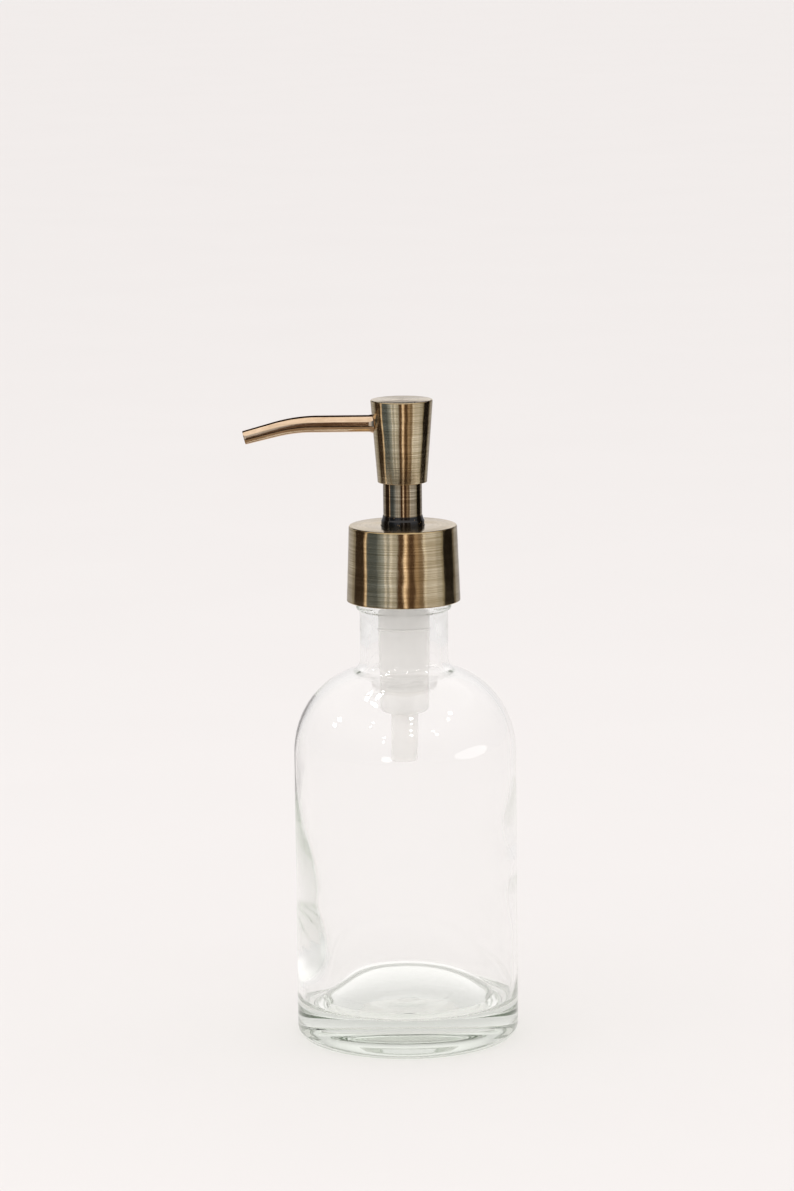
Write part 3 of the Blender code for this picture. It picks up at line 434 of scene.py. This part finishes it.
# Stainless steel, drawn through a die: bright, with a fine unevenness.
drawn_steel, tree, out = new_tree("drawn_steel")
place = add(tree, "ShaderNodeTexCoord").outputs["Object"]
die_marks = add(tree, "ShaderNodeTexNoise", {"Vector": place, "Scale": 1400.0, "Detail": 2.0})
dull = add(tree, "ShaderNodeMapRange", {"Value": die_marks.outputs["Fac"], 3: 0.16, 4: 0.34})
drawn = add(tree, "ShaderNodeBsdfPrincipled", {
    "Base Color": linear("C4C3C0"), "Metallic": 1.0, "Roughness": dull.outputs[0]})
tree.links.new(drawn.outputs["BSDF"], out.inputs["Surface"])
bm = bmesh.new()
section = bmesh.ops.create_circle(bm, segments=10, radius=WIRE_R * MM)["verts"]
low = SPRING_LOW + WIRE_R
bmesh.ops.transform(bm, matrix=Matrix.Translation((SPRING_R * MM, 0, low * MM))
                    @ Matrix.Rotation(math.pi / 2, 4, "X"), verts=section)
ring = bm.edges[:]
bmesh.ops.contextual_create(bm, geom=ring)
climb = SPRING_HIGH - SPRING_LOW - 2 * WIRE_R
for i in range(round(COILS * COIL_STEPS)):
    in_the_open = 1 <= i / COIL_STEPS < COILS - 1
    rise = ((climb - 2 * CLOSED_RISE) / (COILS - 2) if in_the_open else CLOSED_RISE) / COIL_STEPS
    made = bmesh.ops.extrude_edge_only(bm, edges=ring)["geom"]
    ring = [g for g in made if isinstance(g, bmesh.types.BMEdge)]
    moved = list({v for e in ring for v in e.verts})
    bmesh.ops.rotate(bm, cent=(0, 0, 0), verts=moved,
                     matrix=Matrix.Rotation(2 * math.pi / COIL_STEPS, 3, "Z"))
    bmesh.ops.translate(bm, vec=(0, 0, rise * MM), verts=moved)
bmesh.ops.contextual_create(bm, geom=ring)
bmesh.ops.recalc_face_normals(bm, faces=bm.faces)
spring = stand("spring", bm, drawn_steel, 50)
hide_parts("return_spring")
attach(spring, "pump_body")
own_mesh(spring)

# ------------------------------------------------------------- guide sleeve
# The bright tube that the head slides over: brass, turned and polished, its
# colour darker than the collar's. It is pressed on the pump's guide and stands in the collar's
# bush.


# The lathe's lines are drawn about 0.24 mm apart and a few tens of mm long. Real
# ones are nearer 0.1 mm, which is too fine to show.
def aged_brass(name, light, dark, finish, patches, roughness, grain=(30, 30, 4200),
               depth=0.000028, sag=0.0002, pull=0.85, on_lathe=True):
    """Brass brushed on a lathe, darkened and rubbed back: light on the lines' tops, dark between.

    Patches is the most that the plain finish hides them, grain the lines per metre, depth the
    height of a line, sag the slow unevenness of the sheet, and pull how far a glint is drawn out.
    """
    material, tree, out = new_tree(name)
    place = add(tree, "ShaderNodeTexCoord").outputs["Object"]
    if on_lathe:  # height plus radius: rings on a deck, level lines on a side
        split = add(tree, "ShaderNodeSeparateXYZ", {0: place})
        flat = add(tree, "ShaderNodeVectorMath", {0: place, 1: (1, 1, 0)}, operation="MULTIPLY")
        radius = add(tree, "ShaderNodeVectorMath", {0: flat.outputs[0]}, operation="LENGTH")
        level = add(tree, "ShaderNodeMath",
                    {0: split.outputs["Z"], 1: radius.outputs["Value"]}, operation="ADD")
        place = add(tree, "ShaderNodeCombineXYZ",
                    {0: split.outputs["X"], 1: split.outputs["Y"], 2: level.outputs[0]}).outputs[0]
    stretch = add(tree, "ShaderNodeMapping", {"Vector": place, "Scale": grain})
    brushing = add(tree, "ShaderNodeTexNoise", {"Vector": stretch.outputs[0], "Scale": 1.0,
                                                "Detail": 4.0, "Roughness": 0.62})
    share = add(tree, "ShaderNodeMapRange", {"Value": brushing.outputs["Fac"], 1: 0.36, 2: 0.64})
    tone = add(tree, "ShaderNodeMix",
               {0: share.outputs[0], 6: linear(dark), 7: linear(light)}, data_type="RGBA")
    cloud = add(tree, "ShaderNodeTexNoise", {"Vector": place, "Scale": 120.0, "Detail": 3.0})
    patch = add(tree, "ShaderNodeMapRange",
                {"Value": cloud.outputs["Fac"], 1: 0.35, 2: 0.65, 4: patches})
    worn = add(tree, "ShaderNodeMix",
               {0: patch.outputs[0], 6: tone.outputs[2], 7: linear(finish)}, data_type="RGBA")
    dull = add(tree, "ShaderNodeMapRange", {"Value": brushing.outputs["Fac"],
                                            3: roughness * 0.7, 4: roughness * 1.35})
    wave = add(tree, "ShaderNodeMapping", {"Vector": place, "Scale": tuple(g / 5 for g in grain)})
    sway = add(tree, "ShaderNodeTexNoise",
               {"Vector": wave.outputs[0], "Scale": 1.0, "Detail": 1.0})
    height = add(tree, "ShaderNodeMath",
                 {0: sway.outputs["Fac"], 1: 0.25, 2: brushing.outputs["Fac"]},
                 operation="MULTIPLY_ADD")
    bump = add(tree, "ShaderNodeBump",
               {"Height": height.outputs[0], "Strength": 0.5, "Distance": depth})
    swelling = add(tree, "ShaderNodeTexNoise", {"Vector": place, "Scale": 110.0, "Detail": 1.0})
    uneven = add(tree, "ShaderNodeBump",
                 {"Height": swelling.outputs["Fac"], "Strength": 1.0, "Distance": sag,
                  "Normal": bump.outputs["Normal"]})
    axial = add(tree, "ShaderNodeTangent", direction_type="RADIAL", axis="Z")
    metal = add(tree, "ShaderNodeBsdfPrincipled", {
        "Base Color": worn.outputs[2], "Metallic": 1.0, "Roughness": dull.outputs[0],
        "Anisotropic": pull, "Anisotropic Rotation": 0.25, "Normal": uneven.outputs["Normal"],
        "Tangent": axial.outputs["Tangent"]})
    tree.links.new(metal.outputs["BSDF"], out.inputs["Surface"])
    return material


# Brass polished on the lathe, its colour darker than the collar's: close to a mirror, its lines
# few and soft.
polished_brass = aged_brass("polished_aged_brass", "C8B89E", "8C7C64", "7C6A4E", 0.4, 0.08,
                            grain=(40, 40, 2200), depth=0.00004)
profile = [(6.15, 180.5, 0.15), (5.65, 180.5, 0.15), (5.65, 155.3, 0.1), (6.15, 155.3, 0.1)]
sleeve = stand("sleeve", turned(profile, 96), polished_brass, 30)
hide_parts("guide_sleeve")
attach(sleeve, "pump_body")

# -------------------------------------------------------------- collar bush
# A black acetal ring that fills the collar's hole and rises in a thin lip round
# the sleeve, moulded glossy, with painted glints: tiny bright spots in its colour.

# Acetal, moulded glossy in black, with painted glints as bright spots a fraction of a millimetre
# across.
black_acetal, tree, out = new_tree("black_acetal")
place = add(tree, "ShaderNodeTexCoord").outputs["Object"]
# Painted glints: small bright brass-coloured spots mixed into the black colour.
painted_glint_cells = add(tree, "ShaderNodeTexVoronoi", {"Vector": place, "Scale": 900.0})
painted_glint_mask = add(tree, "ShaderNodeMapRange", {"Value": painted_glint_cells.outputs["Distance"], 1: 0.16, 2: 0.10})
tone = add(tree, "ShaderNodeMix",
           {0: painted_glint_mask.outputs[0], 6: linear("0D0A08"), 7: linear("8C7048")}, data_type="RGBA")
moulded = add(tree, "ShaderNodeBsdfPrincipled",
              {"Base Color": tone.outputs[2], "Roughness": 0.12, "IOR": 1.48})
tree.links.new(moulded.outputs["BSDF"], out.inputs["Surface"])
profile = [
    (6.22, 167.7, 0.03), (6.27, 167.6, 0.04), (6.42, 166.8, 0.5), (6.8, 166.1, 0.2),
    (6.8, 163.55, 0), (8.4, 163.55, 0.2), (8.4, 162.55, 0.2), (6.22, 162.55, 0.05),
]
bush = stand("bush", turned(profile, 80), black_acetal, 30)
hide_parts("collar_bush")
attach(bush, "closure")

# ------------------------------------------------------------ closure shell
# The collar: a brass cup drawn from sheet, its side brushed on a lathe, with
# a hole in its deck for the sleeve and a small roll at the rim.

# Brass brushed round with an abrasive pad and darkened: a soft, drawn-out shine.
brushed_brass = aged_brass("brushed_aged_brass", "E8D6B4", "B6A27C", "9A835C", 0.35, 0.14)
profile = [
    (6.95, 164.5, 0.15), (17.08, 164.5, 0.5), (17.98, 140.6, 0.25), (17.3, 140.6, 0.25),
    (16.45, 163.85, 0.4), (6.95, 163.85, 0.1),
]
shell = stand("collar", turned(profile, 160), brushed_brass, 30)
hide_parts("closure_shell")
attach(shell, "closure")

# ---------------------------------------------------------------- pump head
# The button: a flared brass tube closed by a disc pressed in flush and rubbed
# down with it, so that no joint shows.

profile = [
    (0, 204.2, 0), (9.83, 204.2, 0.35), (7.8, 178.2, 0.15), (7.25, 178.2, 0.15), (9.2, 203.2, 0.2),
    (0, 203.2, 0),
]
button = stand("button", turned(profile, 144, on_axis=True), brushed_brass, 30)
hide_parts("head_shell", "head_cap")
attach(button, "head")

# -------------------------------------------------------------------- spout
# A drawn brass tube, bent cold, swaged a little thinner to its tip, cut
# square and silver-soldered into the button.

SPOUT_Z, SPOUT_R, SPOUT_TIP_R, SPOUT_BORE, BORE_DEPTH = 196.75, 2.68, 2.2, 1.6, 8
SPOUT_IN, BEND_START, BEND_R, BEND, SPOUT_REACH = 6.2, 27.2, 50.0, math.radians(14.5), 49.5
SOLDER_FROM, SOLDER_TO, SOLDER, SOLDER_STEP, SOLDER_STEPS = 2.6, 4.4, 0.55, 0.15, 13
SPOUT_STEPS = 60


def along_spout(run):
    """How far out, how far down and how steep the spout's axis is, a distance along it, in mm."""
    straight, bent = BEND_START - SPOUT_IN, BEND_R * BEND
    if run <= straight:
        return SPOUT_IN + run, 0.0, 0.0
    turn = min((run - straight) / BEND_R, BEND)
    rest = max(0.0, run - straight - bent)
    return (BEND_START + BEND_R * math.sin(turn) + rest * math.cos(BEND),
            BEND_R * (1 - math.cos(turn)) + rest * math.sin(BEND), turn)


def spout_radius(run):
    """The tube's outside, in mm: it thins from the bend to the tip, and has solder at its root."""
    share = max(0.0, (along_spout(run)[0] - BEND_START) / (SPOUT_REACH - BEND_START))
    radius = SPOUT_R + (SPOUT_TIP_R - SPOUT_R) * share
    if SOLDER_FROM <= run < SOLDER_TO:
        radius += SOLDER * ((SOLDER_TO - run) / (SOLDER_TO - SOLDER_FROM)) ** 2
    return radius


length = BEND_START - SPOUT_IN + BEND_R * BEND
length += (SPOUT_REACH - BEND_START - BEND_R * math.sin(BEND)) / math.cos(BEND)
runs = [length * i / SPOUT_STEPS for i in range(SPOUT_STEPS)]
runs += [SOLDER_FROM + SOLDER_STEP * i for i in range(SOLDER_STEPS)]
rings = [(run, spout_radius(run)) for run in sorted(runs)]
for back, edge in ((0.16, 0.0), (0.05, 0.05), (0.0, 0.17)):  # the broken edge at the tip
    rings.append((length - back, spout_radius(length - back) - edge))
rings += [(length, SPOUT_BORE + 0.1), (length - 0.1, SPOUT_BORE)]
rings += [(length - BORE_DEPTH, SPOUT_BORE)]
bm = bmesh.new()
bmesh.ops.create_circle(bm, segments=48, radius=1.0)
ring, last = bm.edges[:], Matrix.Identity(4)
for number, (run, radius) in enumerate(rings):
    out_x, drop, turn = along_spout(run)
    stance = (Matrix.Translation((-out_x * MM, 0, (SPOUT_Z - drop) * MM))
              @ Matrix.Rotation(-math.pi / 2 - turn, 4, "Y")
              @ Matrix.Diagonal((radius * MM, radius * MM, radius * MM, 1)))
    if number:
        made = bmesh.ops.extrude_edge_only(bm, edges=ring)["geom"]
        ring = [g for g in made if isinstance(g, bmesh.types.BMEdge)]
    moved = list({v for e in ring for v in e.verts})
    bmesh.ops.transform(bm, matrix=stance @ last.inverted(), verts=moved)
    last = stance
bmesh.ops.recalc_face_normals(bm, faces=bm.faces)

# Brass drawn through a die: faint marks along the tube, some 6 mm long and 1 mm wide.
drawn_brass = aged_brass("drawn_aged_brass", "DEC4A8", "CAB092", "B4987A", 0.3, 0.12,
                         grain=(160, 900, 900), depth=0.000015, sag=0.00006, pull=0.0,
                         on_lathe=False)
spout = stand("spout", bm, drawn_brass, 40)
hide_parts("spout_tube")
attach(spout, "head")

# ------------------------------------------------------------ inner mouldings
# What the turned metal hides: mouldings in white polypropylene and softer
# polyethylene, a rubber gasket and wiper, and two stainless balls.


def moulding(name, light, dark, roughness, mottle):
    """Moulded plastic or rubber: flow marks, so many per metre, and a fine spark-eroded grain."""
    material, tree, out = new_tree(name)
    place = add(tree, "ShaderNodeTexCoord").outputs["Object"]
    flow = add(tree, "ShaderNodeTexNoise", {"Vector": place, "Scale": mottle, "Detail": 4.0})
    grain = add(tree, "ShaderNodeTexNoise", {"Vector": place, "Scale": mottle * 8, "Detail": 2.0})
    tone = add(tree, "ShaderNodeMix",
               {0: flow.outputs["Fac"], 6: linear(dark), 7: linear(light)}, data_type="RGBA")
    bump = add(tree, "ShaderNodeBump",
               {"Height": grain.outputs["Fac"], "Strength": 0.2, "Distance": 0.00005})
    skin = add(tree, "ShaderNodeBsdfPrincipled", {
        "Base Color": tone.outputs[2], "Roughness": roughness, "IOR": 1.49,
        "Normal": bump.outputs["Normal"]})
    tree.links.new(skin.outputs["BSDF"], out.inputs["Surface"])
    return material


# White polypropylene, polyethylene that is softer and duller, and grey nitrile
# rubber, duller still.
white_pp = moulding("white_pp", "EFEFEC", "E2E3E0", 0.38, 300)
soft_pe = moulding("soft_pe", "E6E8E6", "D8DBDA", 0.45, 260)
nitrile_rubber = moulding("nitrile_rubber", "A8A6A0", "8E8C86", 0.7, 420)
for names, skin in (
    (("closure_insert", "chaplet", "ball_cage"), white_pp),
    (("piston_rod", "piston_plug", "head_core"), white_pp),
    (("piston_seal", "spout_liner"), soft_pe),
    (("lip_gasket", "stem_wiper"), nitrile_rubber),
    (("inlet_ball", "outlet_ball"), drawn_steel),
):
    for name in names:
        for slot in nodes[name].material_slots:
            slot.material = skin
